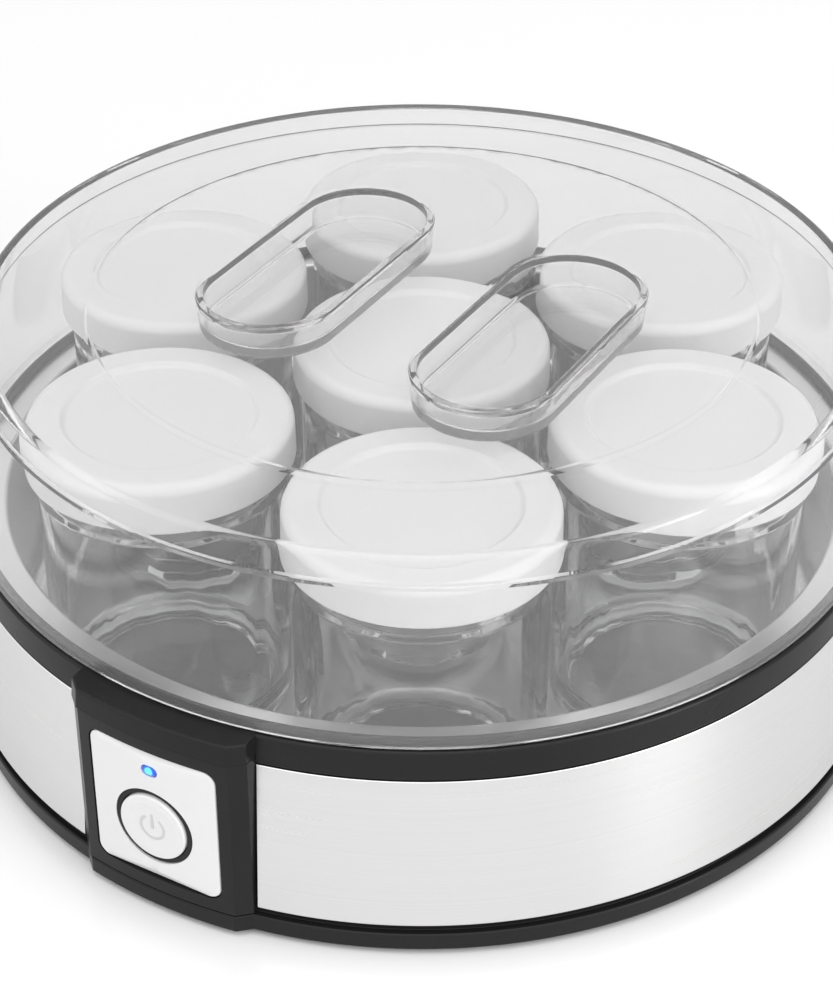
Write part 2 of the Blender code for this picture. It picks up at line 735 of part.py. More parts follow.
def make_jars():
    """Glass jars with a narrower neck, and flat caps with a shallow round recess on top."""
    inside = JAR_RADIUS - JAR_WALL
    jar = [
        (0, JAR_BOTTOM + 3.2 * MM),
        (inside - 4 * MM, JAR_BOTTOM + 3.4 * MM),
        (inside, JAR_BOTTOM + 7 * MM),
        (inside, JAR_SHOULDER - 1 * MM),
        (JAR_NECK_RADIUS - JAR_WALL, JAR_SHOULDER + 4 * MM),
        (JAR_NECK_RADIUS - JAR_WALL, JAR_MOUTH),
        (JAR_NECK_RADIUS, JAR_MOUTH),
        (JAR_NECK_RADIUS + 0.6 * MM, JAR_MOUTH - 3.6 * MM),
        (JAR_NECK_RADIUS, JAR_SHOULDER + 5 * MM),
        (JAR_RADIUS, JAR_SHOULDER),
        (JAR_RADIUS, JAR_BOTTOM + 5 * MM),
        (JAR_RADIUS - 1.3 * MM, JAR_BOTTOM + 1.6 * MM),
        (JAR_RADIUS - 4.5 * MM, JAR_BOTTOM),
        (0, JAR_BOTTOM),
    ]
    cap = [
        (0, CAP_RECESS_TOP),
        (CAP_RECESS_RADIUS - 0.8 * MM, CAP_RECESS_TOP),
        (CAP_RECESS_RADIUS + 0.8 * MM, CAP_TOP),
        (CAP_RADIUS - 2.6 * MM, CAP_TOP),
        (CAP_RADIUS - 0.7 * MM, CAP_TOP - 0.9 * MM),
        (CAP_RADIUS, CAP_TOP - 3 * MM),
        (CAP_RADIUS, CAP_BOTTOM),
        (CAP_RADIUS - 1.4 * MM, CAP_BOTTOM),
        (CAP_RADIUS - CAP_SKIRT_WALL, CAP_BOTTOM + 6 * MM),
        (CAP_RADIUS - CAP_SKIRT_WALL, CAP_RECESS_TOP - CAP_THICKNESS),
        (0, CAP_RECESS_TOP - CAP_THICKNESS),
    ]
    for i, (x, y) in enumerate(jar_places()):
        turned(f"jar_{i + 1}", jar, "glass", JAR_STEPS, (x, y, 0))
        turned(f"jar_cap_{i + 1}", cap, "white_plastic", JAR_STEPS, (x, y, 0))


def make_lid():
    """The clear lid: a tapered wall, a rounded shoulder, a low dome and two finger pockets."""
    outer_middle = (LID_SHOULDER_RADIUS - LID_SHOULDER_ROUND, LID_SHOULDER_TOP - LID_SHOULDER_ROUND)
    inner_reach = LID_WALL + LID_INNER_ROUND
    inner_middle = (LID_SHOULDER_RADIUS - inner_reach, LID_SHOULDER_TOP - inner_reach)
    dome_middle = (LID_CREASE_RADIUS / 2, (LID_CREASE_TOP + LID_CENTRE_TOP) / 2 + 0.4 * MM)
    profile = [(0, LID_CENTRE_TOP), dome_middle, (LID_CREASE_RADIUS, LID_CREASE_TOP)]
    profile += arc(outer_middle, LID_SHOULDER_ROUND, 90, 0, 3)
    profile += [(LID_FOOT_RADIUS, LID_FOOT), (LID_FOOT_RADIUS - LID_WALL, LID_FOOT)]
    profile += arc(inner_middle, LID_INNER_ROUND, 0, 90, 3)
    profile += [(LID_CREASE_RADIUS, LID_CREASE_TOP - LID_WALL)]
    profile += [(dome_middle[0], dome_middle[1] - LID_WALL), (0, LID_CENTRE_TOP - LID_WALL)]
    lid = turned("lid", profile, "clear_plastic")
    cups = []
    hollows = []
    for side, sign in (("left", -1), ("right", 1)):
        middle = (sign * POCKET_OFFSET, -sign * POCKET_STAGGER)
        outside = stadium(POCKET_LENGTH + 2 * POCKET_WALL, POCKET_WIDTH + 2 * POCKET_WALL, middle)
        inside = stadium(POCKET_LENGTH, POCKET_WIDTH, middle)
        cup_bottom = POCKET_FLOOR_TOP - POCKET_WALL
        cups.append(extruded(f"pocket_cup_{side}", outside, cup_bottom, LID_CREASE_TOP - 0.8 * MM))
        hollows.append(extruded(f"pocket_hollow_{side}", inside, POCKET_FLOOR_TOP, 120 * MM))
    combine(lid, cups, "UNION")
    combine(lid, hollows, "DIFFERENCE")


make_lower_base()
make_feet()
make_screws()
make_steel_band()
make_upper_ring()
make_tub()
make_heater()
make_cord_inlet()
make_panel()
make_controls()
make_jars()
make_lid()
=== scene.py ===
"""Yogurt maker: the finished look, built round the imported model. Metres, +Z up, panel facing -Y."""

import math

import bmesh
import bpy
from mathutils import Matrix, Quaternion, Vector
from mathutils.geometry import delaunay_2d_cdt


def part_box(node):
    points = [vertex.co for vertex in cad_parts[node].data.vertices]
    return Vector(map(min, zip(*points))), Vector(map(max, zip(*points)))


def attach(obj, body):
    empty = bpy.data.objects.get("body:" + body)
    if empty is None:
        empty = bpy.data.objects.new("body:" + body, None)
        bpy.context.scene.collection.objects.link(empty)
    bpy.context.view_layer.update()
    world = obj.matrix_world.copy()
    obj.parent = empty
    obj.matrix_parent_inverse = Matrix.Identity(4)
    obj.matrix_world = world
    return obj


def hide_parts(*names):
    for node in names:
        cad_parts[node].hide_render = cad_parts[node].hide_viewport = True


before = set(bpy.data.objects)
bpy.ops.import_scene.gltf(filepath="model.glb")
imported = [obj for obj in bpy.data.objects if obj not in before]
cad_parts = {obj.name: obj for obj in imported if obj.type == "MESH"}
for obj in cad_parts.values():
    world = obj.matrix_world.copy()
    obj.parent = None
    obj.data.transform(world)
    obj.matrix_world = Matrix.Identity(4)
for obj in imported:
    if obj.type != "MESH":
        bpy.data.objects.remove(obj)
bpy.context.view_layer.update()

MM = 0.001
GAP = 0.3 * MM
ROOM_FRONT = (0.15, -0.90, 0.20)  # the direction that the room is brightest in
ROOM_DARK = 0.80
ROOM_BRIGHT = 1.7
ROOM_DARK_UNTIL = -0.35  # the cosine of the angle to that direction up to which it stays dark
ROOM_BRIGHT_FROM = 0.55  # and from where it is fully bright
FLOOR_REACH = 6.0
FINE = 0.0000001  # lengths below this count as nothing
WELD = 0.000002  # points closer than this are made one
SHARP = math.radians(35)  # edges that turn by more than this stay sharp
MOST_OF_SIDE = 0.49  # the most that a rounding may take of the side next to it
NEARLY_STRAIGHT = math.radians(89.5)  # corners whose half angle is larger aren't rounded
TRIANGLE_ROW = 0.866  # the height of a row of even triangles, in sides
TRIANGLE_MARGIN = 0.45  # how near a grid point may come to an outline, in sides

# Camera, as the photograph was taken
AIM = Vector((-1.1, -0.6, 46.0)) * MM
CAMERA_AZIMUTH = 30.0
CAMERA_ELEVATION = 34.58
CAMERA_DISTANCE = 0.6683
CAMERA_ROLL = 0.19
CAMERA_LENS = 89.02

# Sizes read from the frame
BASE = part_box("lower_base")
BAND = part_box("steel_band")
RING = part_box("upper_ring")
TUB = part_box("heating_tub")
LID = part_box("lid")
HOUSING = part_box("panel_housing")
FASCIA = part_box("fascia_plate")
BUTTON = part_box("power_button")
LENS_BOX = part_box("indicator_lens")
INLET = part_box("cord_inlet")
JAR_COUNT = 7
JARS = [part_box(f"jar_{i + 1}") for i in range(JAR_COUNT)]
CAPS = [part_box(f"jar_cap_{i + 1}") for i in range(JAR_COUNT)]

PANEL_RADIUS = -HOUSING[0][1]
PANEL_SIDE = HOUSING[1][0]
PANEL_FRONT_HALF = PANEL_SIDE - 3.4 * MM
PANEL_SHOULDER = 122.4 * MM
PANEL_FRONT_SWING = math.degrees(math.asin(PANEL_FRONT_HALF / PANEL_RADIUS))
PANEL_SHOULDER_SWING = math.degrees(math.atan2(PANEL_SIDE, PANEL_SHOULDER))
PANEL_END_SWING = 40  # beyond this, in degrees from the front, there is no panel
PANEL_SKIN = 3 * MM  # how deep the points of a ring that follow the panel lie
FASCIA_WIDTH = FASCIA[1][0] - FASCIA[0][0]
FASCIA_HEIGHT = FASCIA[1][2] - FASCIA[0][2]
FASCIA_MIDDLE = (0, (FASCIA[1][2] + FASCIA[0][2]) / 2)
LAMP_MIDDLE = (0, (LENS_BOX[0][2] + LENS_BOX[1][2]) / 2)
BASE_RADIUS = BASE[1][0]
BUTTON_HEIGHT = (BUTTON[0][2] + BUTTON[1][2]) / 2
BUTTON_HOLE = 11.0 * MM
INLET_HEIGHT = 22 * MM
SCREW_CIRCLE = 115.6 * MM
SCREW_ANGLES = (20, 160, 200, 340)
FOOT_CIRCLE = 107.5 * MM

TURNS = 192  # facets round the body
CAP_TURNS = 128
SMALL_TURNS = 96
FOOT_TURNS = 64
SCREW_TURNS = 48


# ------------------------------------------------------------------------------------- outlines


def polar(radius, degrees):
    angle = math.radians(degrees)
    return Vector((radius * math.cos(angle), radius * math.sin(angle)))


def arc(centre, radius, start, end, segments):
    """Points of an arc between two angles in degrees, both ends included."""
    middle = Vector(centre)
    turn = end - start
    return [middle + polar(radius, start + turn * i / segments) for i in range(segments + 1)]


def straight(start, end, segments):
    """Points spaced evenly between two others, which are left out."""
    first, last = Vector(start), Vector(end)
    return [first.lerp(last, i / segments) for i in range(1, segments)]


def rounded(corners, segments=4, closed=False):
    """A profile through (x, y, rounding) corners, with an arc in place of each rounded corner."""
    points = []
    count = len(corners)
    for i, (x, y, radius) in enumerate(corners):
        here = Vector((x, y))
        if radius == 0 or (not closed and i in (0, count - 1)):
            points.append(here)
            continue
        before = Vector(corners[i - 1][:2]) - here
        after = Vector(corners[(i + 1) % count][:2]) - here
        half = before.angle(after) / 2
        if half > NEARLY_STRAIGHT:
            points.append(here)
            continue
        shorter = min(before.length, after.length)
        reach = min(radius / math.tan(half), shorter * MOST_OF_SIDE)
        radius = reach * math.tan(half)
        inward = (before.normalized() + after.normalized()).normalized()
        centre = here + inward * (radius / math.sin(half))
        start = here + before.normalized() * reach - centre
        end = here + after.normalized() * reach - centre
        swing = start.angle_signed(end)
        for step in range(segments + 1):
            turned = start.copy()
            turned.rotate(Matrix.Rotation(-swing * step / segments, 2))
            points.append(centre + turned)
    return points


def rounded_rectangle(width, height, corner, middle=(0, 0), segments=10):
    across, up = width / 2 - corner, height / 2 - corner
    outline = []
    for sign_x, sign_y, start in ((1, 1, 0), (-1, 1, 90), (-1, -1, 180), (1, -1, 270)):
        centre = (middle[0] + sign_x * across, middle[1] + sign_y * up)
        outline += arc(centre, corner, start, start + 90, segments)
    return outline


def stadium(length, width, middle, segments=28):
    """A slot outline along Y with round ends."""
    reach, half = (length - width) / 2, width / 2
    x, y = middle
    top = arc((x, y + reach), half, 0, 180, segments)
    bottom = arc((x, y - reach), half, 180, 360, segments)
    left = straight((x - half, y + reach), (x - half, y - reach), segments // 2)
    right = straight((x + half, y - reach), (x + half, y + reach), segments // 2)
    return top + left + bottom + right


def circle(radius, middle=(0, 0), segments=SMALL_TURNS):
    return [Vector(middle) + polar(radius, 360 * i / segments) for i in range(segments)]


# ---------------------------------------------------------------------------------- mesh building


class Mould:
    """Gathers the patches of one closed surface and makes an object of them."""

    def __init__(self):
        self.edit = bmesh.new()

    def ring(self, points):
        return [self.edit.verts.new(point) for point in points]

    def bridge(self, first, second, closed=True):
        """Quads between two rings with the same number of points. A ring of one point is a pole."""
        count = max(len(first), len(second))
        for i in range(count if closed else count - 1):
            j = (i + 1) % count
            corners = [first[i % len(first)], first[j % len(first)]]
            corners += [second[j % len(second)], second[i % len(second)]]
            unique = list(dict.fromkeys(corners))
            if len(unique) > 2:
                self.edit.faces.new(unique)

    def stack(self, rings, closed=True, loop=False):
        made = [self.ring(ring) for ring in rings]
        for first, second in zip(made, made[1:]):
            self.bridge(first, second, closed)
        if loop:
            self.bridge(made[-1], made[0], closed)
        return made

    def fill(self, border, holes, spacing, lift):
        """Covers the flat region between a border and its holes with even triangles, then lifts
        each point into place with lift(x, y). Every outline is a list of 2D points."""
        outlines = [border, *holes]
        points = [Vector(point) for outline in outlines for point in outline]
        edges = []
        first = 0
        for outline in outlines:
            count = len(outline)
            edges += [(first + i, first + (i + 1) % count) for i in range(count)]
            first += count
        low = Vector((min(p.x for p in border), min(p.y for p in border)))
        high = Vector((max(p.x for p in border), max(p.y for p in border)))
        rise = spacing * TRIANGLE_ROW
        rows = int((high.y - low.y) / rise) + 1
        columns = int((high.x - low.x) / spacing) + 2
        for row in range(rows):
            for column in range(columns):
                shift = 0.5 * (row % 2)
                point = low + Vector(((column + shift) * spacing, row * rise))
                if not inside(point, border) or any(inside(point, hole) for hole in holes):
                    continue
                if min(clearance(point, outline) for outline in outlines) > spacing * TRIANGLE_MARGIN:
                    points.append(point)
        made, _, faces, _, _, _ = delaunay_2d_cdt(points, edges, [], 0, FINE)
        verts = [self.edit.verts.new(lift(point.x, point.y)) for point in made]
        used = set()
        for face in faces:
            centre = sum((made[i] for i in face), Vector((0, 0))) / len(face)
            if inside(centre, border) and not any(inside(centre, hole) for hole in holes):
                self.edit.faces.new([verts[i] for i in face])
                used.update(face)
        for i, vert in enumerate(verts):
            if i not in used:
                self.edit.verts.remove(vert)

    def finish(self, name):
        """Welds the patches, turns the faces outwards and shades the result smooth."""
        bmesh.ops.remove_doubles(self.edit, verts=self.edit.verts, dist=WELD)
        bmesh.ops.dissolve_degenerate(self.edit, edges=self.edit.edges, dist=FINE)
        bmesh.ops.recalc_face_normals(self.edit, faces=self.edit.faces)
        return shade(mesh_object(name, self.edit))


def add_object(name, data):
    obj = bpy.data.objects.new(name, data)
    bpy.context.scene.collection.objects.link(obj)
    return obj


def mesh_object(name, edit):
    """Turns a bmesh into an object."""
    mesh = bpy.data.meshes.new(name)
    edit.to_mesh(mesh)
    edit.free()
    return add_object(name, mesh)


def shade(obj):
    """Shades an object smooth between its sharp edges, its normals weighted by face area."""
    obj.data.shade_smooth()
    obj.data.set_sharp_from_angle(angle=SHARP)
    weighted = obj.modifiers.new("Even shading", "WEIGHTED_NORMAL")
    weighted.keep_sharp = True
    return obj


def at_height(outline, height):
    """The 3D points of a flat outline at one height."""
    return [point.to_3d() + Vector((0, 0, height)) for point in outline]


def inside(point, outline):
    """True if a 2D point lies inside a closed outline."""
    found = False
    for a, b in zip(outline, outline[1:] + outline[:1]):
        if (a.y > point.y) != (b.y > point.y):
            crossing = a.x + (point.y - a.y) / (b.y - a.y) * (b.x - a.x)
            if point.x < crossing:
                found = not found
    return found


def clearance(point, outline):
    """The distance from a 2D point to the nearest side of a closed outline."""
    nearest = math.inf
    for a, b in zip(outline, outline[1:] + outline[:1]):
        side = b - a
        along = max(0.0, min(1.0, (point - a).dot(side) / side.length_squared))
        nearest = min(nearest, (point - a - side * along).length_squared)
    return math.sqrt(nearest)


def revolve(name, profile, turns=TURNS, at=(0, 0, 0), forward=0):
    """Turns a profile of (radius, height) points about Z. A profile that starts and ends on the
    axis makes a solid, and any other a ring. forward is 1 or -1 to lay the axis along -Y or +Y."""
    solid = profile[0][0] < FINE and profile[-1][0] < FINE
    rings = []
    for radius, height in profile:
        if radius < FINE:
            rings.append([Vector((0, 0, height))])
        else:
            rings.append(at_height(circle(radius, segments=turns), height))
    mould = Mould()
    mould.stack(rings, loop=not solid)
    if forward:
        tip = Matrix.Rotation(forward * math.pi / 2, 4, "X")
        bmesh.ops.transform(mould.edit, matrix=tip, verts=mould.edit.verts)
    bmesh.ops.translate(mould.edit, vec=Vector(at), verts=mould.edit.verts)
    return mould.finish(name)


def cut(obj, cutters):
    """Cuts one object with others, keeps the result as the object's mesh and removes the cutters."""
    obj.modifiers.clear()
    for cutter in cutters:
        boolean = obj.modifiers.new("Cut", "BOOLEAN")
        boolean.object = cutter
        boolean.operation = "DIFFERENCE"
    graph = bpy.context.evaluated_depsgraph_get()
    mesh = bpy.data.meshes.new_from_object(obj.evaluated_get(graph))
    obj.modifiers.clear()
    obj.data = mesh
    for cutter in cutters:
        bpy.data.objects.remove(cutter)
    shade(obj)


def prism(name, outline, low, high):
    """A solid between two distances in front of the middle, from an outline in X and Z."""
    mould = Mould()
    near = [Vector((p[0], -low, p[1])) for p in outline]
    far = [Vector((p[0], -high, p[1])) for p in outline]
    first, second = mould.stack([near, far])
    mould.edit.faces.new(first)
    mould.edit.faces.new(second)
    return mould.finish(name)


def adopt(obj, body, material, *nodes, slot=None):
    """Gives a piece its material and body, and hides the nodes that it stands for. Its slot is not
    used.
    """
    obj.data.materials.clear()
    obj.data.materials.append(material)
    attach(obj, body)
    if nodes:
        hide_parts(*nodes)


# -------------------------------------------------------------------------------------- materials


class Finish:
    """A procedural material: a Principled shader with small helpers for its texture nodes."""

    def __init__(self, name, colour, roughness, metallic=0.0, **values):
        self.material = bpy.data.materials.new(name)
        self.material.use_nodes = True
        self.nodes = self.material.node_tree.nodes
        self.links = self.material.node_tree.links
        self.shader = self.nodes["Principled BSDF"]
        self.set("Base Color", (*colour, 1.0))
        self.set("Roughness", roughness)
        self.set("Metallic", metallic)
        for label, value in values.items():
            self.set(label.replace("_", " "), value)
        self.where = self.nodes.new("ShaderNodeTexCoord").outputs["Object"]

    def set(self, label, value):
        self.shader.inputs[label].default_value = value

    def mapped(self, scale):
        mapping = self.nodes.new("ShaderNodeMapping")
        mapping.inputs["Scale"].default_value = scale
        self.links.new(self.where, mapping.inputs["Vector"])
        return mapping.outputs["Vector"]

    def noise(self, scale, detail=3.0, stretch=(1, 1, 1)):
        noise = self.nodes.new("ShaderNodeTexNoise")
        noise.inputs["Scale"].default_value = scale
        noise.inputs["Detail"].default_value = detail
        self.links.new(self.mapped(stretch), noise.inputs["Vector"])
        return noise.outputs["Fac"]

    def ranged(self, source, low, high):
        mapped = self.nodes.new("ShaderNodeMapRange")
        mapped.inputs["To Min"].default_value = low
        mapped.inputs["To Max"].default_value = high
        self.links.new(source, mapped.inputs["Value"])
        return mapped.outputs["Result"]

    def vary_roughness(self, source, low, high):
        self.links.new(self.ranged(source, low, high), self.shader.inputs["Roughness"])
        return self

    def vary_colour(self, source, first, second):
        mix = self.nodes.new("ShaderNodeMix")
        mix.data_type = "RGBA"
        mix.inputs["A"].default_value = (*first, 1.0)
        mix.inputs["B"].default_value = (*second, 1.0)
        self.links.new(source, mix.inputs["Factor"])
        self.links.new(mix.outputs["Result"], self.shader.inputs["Base Color"])
        return self

    def bump(self, source, strength, depth):
        bump = self.nodes.new("ShaderNodeBump")
        bump.inputs["Strength"].default_value = strength
        bump.inputs["Distance"].default_value = depth
        self.links.new(source, bump.inputs["Height"])
        self.links.new(bump.outputs["Normal"], self.shader.inputs["Normal"])
        return self


def black_plastic():
    finish = Finish("black_plastic_satin", (0.010, 0.010, 0.0104), 0.30, Specular_IOR_Level=0.16)
    grain = finish.noise(2600)
    finish.vary_roughness(finish.noise(60), 0.24, 0.34)
    finish.vary_colour(finish.noise(35), (0.008, 0.008, 0.0083), (0.013, 0.013, 0.0134))
    finish.bump(grain, 0.12, 0.00004)
    return finish.material


def white_plastic(name, tone, low, high):
    finish = Finish(name, (tone, tone, tone), 0.32, Subsurface_Weight=0.05)
    finish.set("Subsurface Radius", (0.002, 0.002, 0.002))
    finish.vary_colour(finish.noise(40), (tone - 0.01,) * 3, (tone + 0.01,) * 3)
    finish.vary_roughness(finish.noise(90), low, high)
    finish.bump(finish.noise(1500), 0.04, 0.00003)
    return finish.material


def brushed_steel():
    """Fine scratches run round the band, so their pattern changes fast with height only."""
    finish = Finish("brushed_steel_band", (0.80, 0.80, 0.79), 0.30, 1.0, Anisotropic=0.45)
    lines = finish.noise(1.0, 4.0, (4, 4, 5200))
    broad = finish.noise(1.0, 3.0, (5, 5, 900))
    finish.vary_colour(lines, (0.64, 0.635, 0.635), (0.72, 0.715, 0.715))
    finish.vary_roughness(broad, 0.24, 0.36)
    finish.bump(lines, 0.08, 0.00003)
    return finish.material


def tub_metal():
    finish = Finish("tub_metal_satin", (0.56, 0.56, 0.56), 0.3, 1.0)
    finish.vary_colour(finish.noise(24), (0.90, 0.90, 0.90), (0.95, 0.95, 0.95))
    finish.vary_roughness(finish.noise(16, 2.0), 0.22, 0.36)
    finish.bump(finish.noise(1.0, 3.0, (60, 60, 900)), 0.10, 0.00008)
    return finish.material


def clear_plastic():
    """Clear, with a slight haze and a low index, so that light isn't trapped as black edges."""
    finish = Finish("clear_lid_plastic", (0.93, 0.927, 0.93), 0.0, IOR=1.36)
    finish.set("Transmission Weight", 0.945)
    finish.vary_roughness(finish.noise(30), 0.0, 0.02)
    finish.bump(finish.noise(9, 1.0), 0.04, 0.0004)
    return finish.material


def jar_glass():
    finish = Finish("jar_glass_clear", (0.97, 0.98, 0.975), 0.0, Transmission_Weight=1.0, IOR=1.5)
    finish.vary_roughness(finish.noise(40), 0.0, 0.02)
    finish.bump(finish.noise(1.0, 2.0, (70, 70, 22)), 0.45, 0.0010)
    return finish.material


def plain(name, colour, roughness, metallic, grain, strength):
    """A finish for small and inner pieces, with its own grain and slight variation."""
    finish = Finish(name, colour, roughness, metallic)
    darker = tuple(channel * 0.85 for channel in colour)
    finish.vary_colour(finish.noise(70), darker, colour)
    finish.vary_roughness(finish.noise(150), roughness * 0.85, min(1.0, roughness * 1.15))
    finish.bump(finish.noise(grain), strength, 0.00006)
    return finish.material


def indicator_blue():
    """A blue light, paler in its middle."""
    finish = Finish("indicator_blue_lit", (0.03, 0.20, 0.75), 0.12, Emission_Strength=0.8)
    centre = finish.nodes.new("ShaderNodeVectorMath")
    centre.operation = "DISTANCE"
    middle = [(a + b) / 2 for a, b in zip(LENS_BOX[0], LENS_BOX[1])]
    middle[1] = LENS_BOX[0][1]
    centre.inputs[1].default_value = middle
    finish.links.new(finish.where, centre.inputs[0])
    ramp = finish.nodes.new("ShaderNodeValToRGB")
    ramp.color_ramp.elements[0].position = 0.45
    ramp.color_ramp.elements[0].color = (0.07, 0.52, 0.80, 1)
    ramp.color_ramp.elements[1].position = 0.65
    ramp.color_ramp.elements[1].color = (0.01, 0.06, 0.55, 1)
    scaled = finish.nodes.new("ShaderNodeMath")
    scaled.operation = "MULTIPLY"
    scaled.inputs[1].default_value = 500.0
    finish.links.new(centre.outputs["Value"], scaled.inputs[0])
    finish.links.new(scaled.outputs["Value"], ramp.inputs["Fac"])
    finish.links.new(ramp.outputs["Color"], finish.shader.inputs["Base Color"])
    finish.links.new(ramp.outputs["Color"], finish.shader.inputs["Emission Color"])
    return finish.material


BLACK = black_plastic()
CAP_WHITE = white_plastic("cap_white_plastic", 0.82, 0.30, 0.40)
FASCIA_WHITE = white_plastic("fascia_white_plastic", 0.60, 0.25, 0.27)
STEEL = brushed_steel()
TUB_METAL = tub_metal()
CLEAR = clear_plastic()
GLASS = jar_glass()
RUBBER = plain("rubber_black", (0.03, 0.03, 0.03), 0.8, 0.0, 1800, 0.3)
SILICONE = plain("silicone_grey", (0.62, 0.62, 0.60), 0.6, 0.0, 900, 0.15)
ZINC = plain("zinc_plate", (0.62, 0.62, 0.60), 0.32, 1.0, 1200, 0.15)
HEATER = plain("heater_sheath", (0.30, 0.30, 0.31), 0.45, 1.0, 1500, 0.25)
BOARD = plain("board_green", (0.03, 0.20, 0.08), 0.45, 0.0, 700, 0.2)
SYMBOL_GREY = plain("symbol_grey", (0.50, 0.50, 0.50), 0.5, 0.0, 1500, 0.1)
BLUE = indicator_blue()


# ------------------------------------------------------------------------------- the body's rings


def panel_reach(swing):
    """How far the panel's outline stands from the axis, swing degrees away from the front."""
    angle = abs(swing)
    if angle <= PANEL_FRONT_SWING:
        return PANEL_RADIUS
    if angle <= PANEL_SHOULDER_SWING:
        start = Vector((PANEL_FRONT_HALF, math.sqrt(PANEL_RADIUS**2 - PANEL_FRONT_HALF**2)))
        end = Vector((PANEL_SIDE, PANEL_SHOULDER))
        along = end - start
        ray = Vector((math.sin(math.radians(angle)), math.cos(math.radians(angle))))
        return (start.x * along.y - start.y * along.x) / (ray.x * along.y - ray.y * along.x)
    if angle < PANEL_END_SWING:
        return PANEL_SIDE / math.sin(math.radians(angle))
    return 0.0


def swings(body_radius):
    """The angles round the body, with extra ones at the corners of the panel's outline."""
    side = math.degrees(math.asin(min(1.0, PANEL_SIDE / body_radius)))
    special = [PANEL_FRONT_SWING, PANEL_SHOULDER_SWING]
    if side > PANEL_SHOULDER_SWING:
        special += [side - 0.02, side + 0.02]
    angles = [-180 + 360 * i / TURNS for i in range(TURNS)]
    angles += special + [-angle for angle in special]
    return sorted(angles)


def ring_with_panel(name, profile, body_radius, floor_at=0.0):
    """A turned ring whose outer points swell out to the panel's outline at the front. Where it
    does, whatever lies lower than floor_at is lifted to it and swells out too, so that the ring
    becomes the panel's top."""
    rings = []
    angles = swings(body_radius)
    solid = profile[0][0] < FINE
    for radius, height in profile:
        if radius < FINE:
            rings.append([Vector((0, 0, height))])
            continue
        points = []
        for swing in angles:
            swell = max(0.0, panel_reach(swing) - body_radius)
            reach, level = radius, height
            if swell > 0:
                if radius > body_radius - PANEL_SKIN or height < floor_at:
                    reach = radius + swell
                level = max(height, floor_at)
            direction = math.radians(swing - 90)
            points.append(Vector((reach * math.cos(direction), reach * math.sin(direction), level)))
        rings.append(points)
    mould = Mould()
    mould.stack(rings, loop=not solid)
    return mould.finish(name)


def make_base():
    """The base pan: a satin rim, the shadow line above it, and the screw and foot recesses below."""
    low, rim = BASE[0][2], 6.5 * MM
    top = BASE[1][2]
    lip = 123.1 * MM
    profile = rounded(
        [
            (0, low + 2.0 * MM, 0),
            (lip - 1.8 * MM, low + 2.0 * MM, 0.5 * MM),
            (lip - 1.8 * MM, top, 0.3 * MM),
            (lip, top, 0.3 * MM),
            (lip, rim, 0.2 * MM),
            (BASE_RADIUS, rim, 0.6 * MM),
            (BASE_RADIUS, low, 0.7 * MM),
            (BASE_RADIUS - 6 * MM, low, 0.2 * MM),
            (BASE_RADIUS - 7 * MM, low + 0.5 * MM, 0.2 * MM),
            (0, low + 0.5 * MM, 0),
        ]
    )
    base = ring_with_panel("base_pan", profile, BASE_RADIUS)
    cutters = []
    for degrees in SCREW_ANGLES:
        x, y = polar(SCREW_CIRCLE, degrees)
        bore = [(0, 6 * MM), (3.3 * MM, 6 * MM), (3.3 * MM, 0), (0, 0)]
        cutters.append(revolve("screw_recess", bore, SCREW_TURNS, (x, y, -2.2 * MM)))
    cut(base, cutters)
    adopt(base, "base", BLACK, "lower_base", slot="black_plastic")


def make_ring():
    """The upper ring with the panel's brow, and the step inside that the lid and flange sit in."""
    top = 59.6 * MM
    outer = 120.9 * MM
    bottom_outer = RING[1][0]
    upstand = RING[1][2]
    profile = rounded(
        [
            (outer, top, 0.9 * MM),
            (bottom_outer, 51.7 * MM, 0.4 * MM),
            (119.9 * MM, 51.7 * MM, 0.2 * MM),
            (119.9 * MM, 44.5 * MM, 0.3 * MM),
            (118.1 * MM, 44.5 * MM, 0.3 * MM),
            (118.1 * MM, 53.5 * MM, 0.3 * MM),
            (111.8 * MM, 53.5 * MM, 0.3 * MM),
            (111.8 * MM, 56.0 * MM, 0.3 * MM),
            (116.3 * MM, 56.0 * MM, 0.2 * MM),
            (116.3 * MM, upstand, 0.4 * MM),
            (117.5 * MM, upstand, 0.4 * MM),
            (117.5 * MM, top, 0.2 * MM),
        ],
        closed=True,
    )
    ring = ring_with_panel("upper_ring_fine", profile, outer, floor_at=54.4 * MM)
    adopt(ring, "base", BLACK, "upper_ring", slot="black_plastic")


def make_band():
    """The steel band: a thin sheet with softened edges that stops at the panel's sides."""
    top, bottom = BAND[1][2], BAND[0][2]
    low_radius = BAND[1][0]
    high_radius = 121.6 * MM
    wall = 0.8 * MM
    edge = 0.25 * MM
    section = rounded(
        [
            (high_radius, top, edge),
            (low_radius, bottom, edge),
            (low_radius - wall, bottom, edge),
            (high_radius - wall, top, edge),
        ],
        closed=True,
    )
    lines = []
    reach = math.degrees(math.asin((PANEL_SIDE + GAP) / high_radius))
    steps = TURNS * 2
    for i in range(steps + 1):
        swing = reach + (360 - 2 * reach) * i / steps
        direction = math.radians(swing - 90)
        across, back = math.cos(direction), math.sin(direction)
        lines.append([Vector((r * across, r * back, z)) for r, z in section])
    mould = Mould()
    made = mould.stack(lines)
    mould.edit.faces.new(made[0])
    mould.edit.faces.new(made[-1])
    band = mould.finish("steel_band_fine")
    bore = [(0, 10 * MM), (5 * MM, 10 * MM), (5 * MM, 0), (0, 0)]
    at = (0, 118 * MM, INLET_HEIGHT)
    cut(band, [revolve("inlet_hole", bore, FOOT_TURNS, at, forward=-1)])
    adopt(band, "base", STEEL, "steel_band", slot="brushed_steel")


